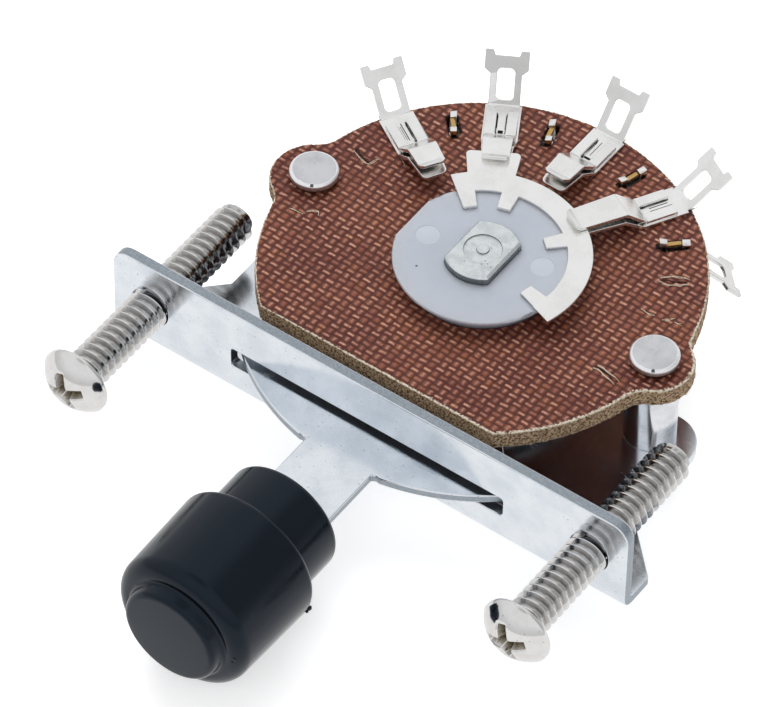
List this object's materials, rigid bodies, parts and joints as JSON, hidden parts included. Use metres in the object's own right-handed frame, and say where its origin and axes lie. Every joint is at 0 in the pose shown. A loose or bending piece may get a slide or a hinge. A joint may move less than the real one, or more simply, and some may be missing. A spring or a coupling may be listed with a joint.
{
  "type": "guitar pickup selector switch",
  "caption": "Three-position guitar pickup selector: lever and knob through a slotted steel strip, turning a rotor with contact rings in a cloth laminate wafer.",
  "frame": {"origin": "front face of the mounting strip, midway between its two tapped holes", "axes": "+X along the strip, -Y out of the strip towards the knob, +Z through the wafer, towards the upper terminals"},
  "size_m": [0.0482, 0.0604, 0.0152],
  "materials": {
    "zinc_plate": "bright zinc plate",
    "turned_steel": "plated, turned",
    "rivet_steel": "smooth plated",
    "spring_steel": "blued spring steel",
    "nickel_plate": "nickel plate",
    "silver_plate": "silver plated brass",
    "black_plastic": "glossy moulded",
    "nylon": "translucent moulded nylon",
    "cloth_laminate": "woven cloth laminate"
  },
  "bodies": {
    "chassis": {"mounting_frame": "zinc_plate", "thrust_washer": "turned_steel", "contact_wafer": "cloth_laminate", "detent_spring": "spring_steel", "spacer_post_left": "turned_steel", "spacer_post_right": "turned_steel", "wafer_rivet_left": "rivet_steel", "wafer_rivet_right": "rivet_steel", "mounting_screw_left": "nickel_plate", "mounting_screw_right": "nickel_plate", "upper_terminal_1": "silver_plate", "lower_terminal_1": "silver_plate", "upper_terminal_2": "silver_plate", "lower_terminal_2": "silver_plate", "upper_terminal_3": "silver_plate", "lower_terminal_3": "silver_plate", "upper_terminal_4": "silver_plate", "lower_terminal_4": "silver_plate"},
    "lever": {"lever_blade": "zinc_plate", "lever_knob": "black_plastic", "pivot_shaft": "turned_steel", "retaining_clip": "spring_steel", "shaft_spacer": "turned_steel", "upper_rotor_half": "nylon", "lower_rotor_half": "nylon", "upper_contact_ring": "silver_plate", "lower_contact_ring": "silver_plate"}
  },
  "joints": [
    {"name": "lever_pivot", "type": "hinge", "parent": "chassis", "child": "lever", "pos_m": [0, 0.0153, 0], "axis": [0, 0, 1], "range_deg": [-22, 22], "deforming": ["detent_spring"]}
  ]
}
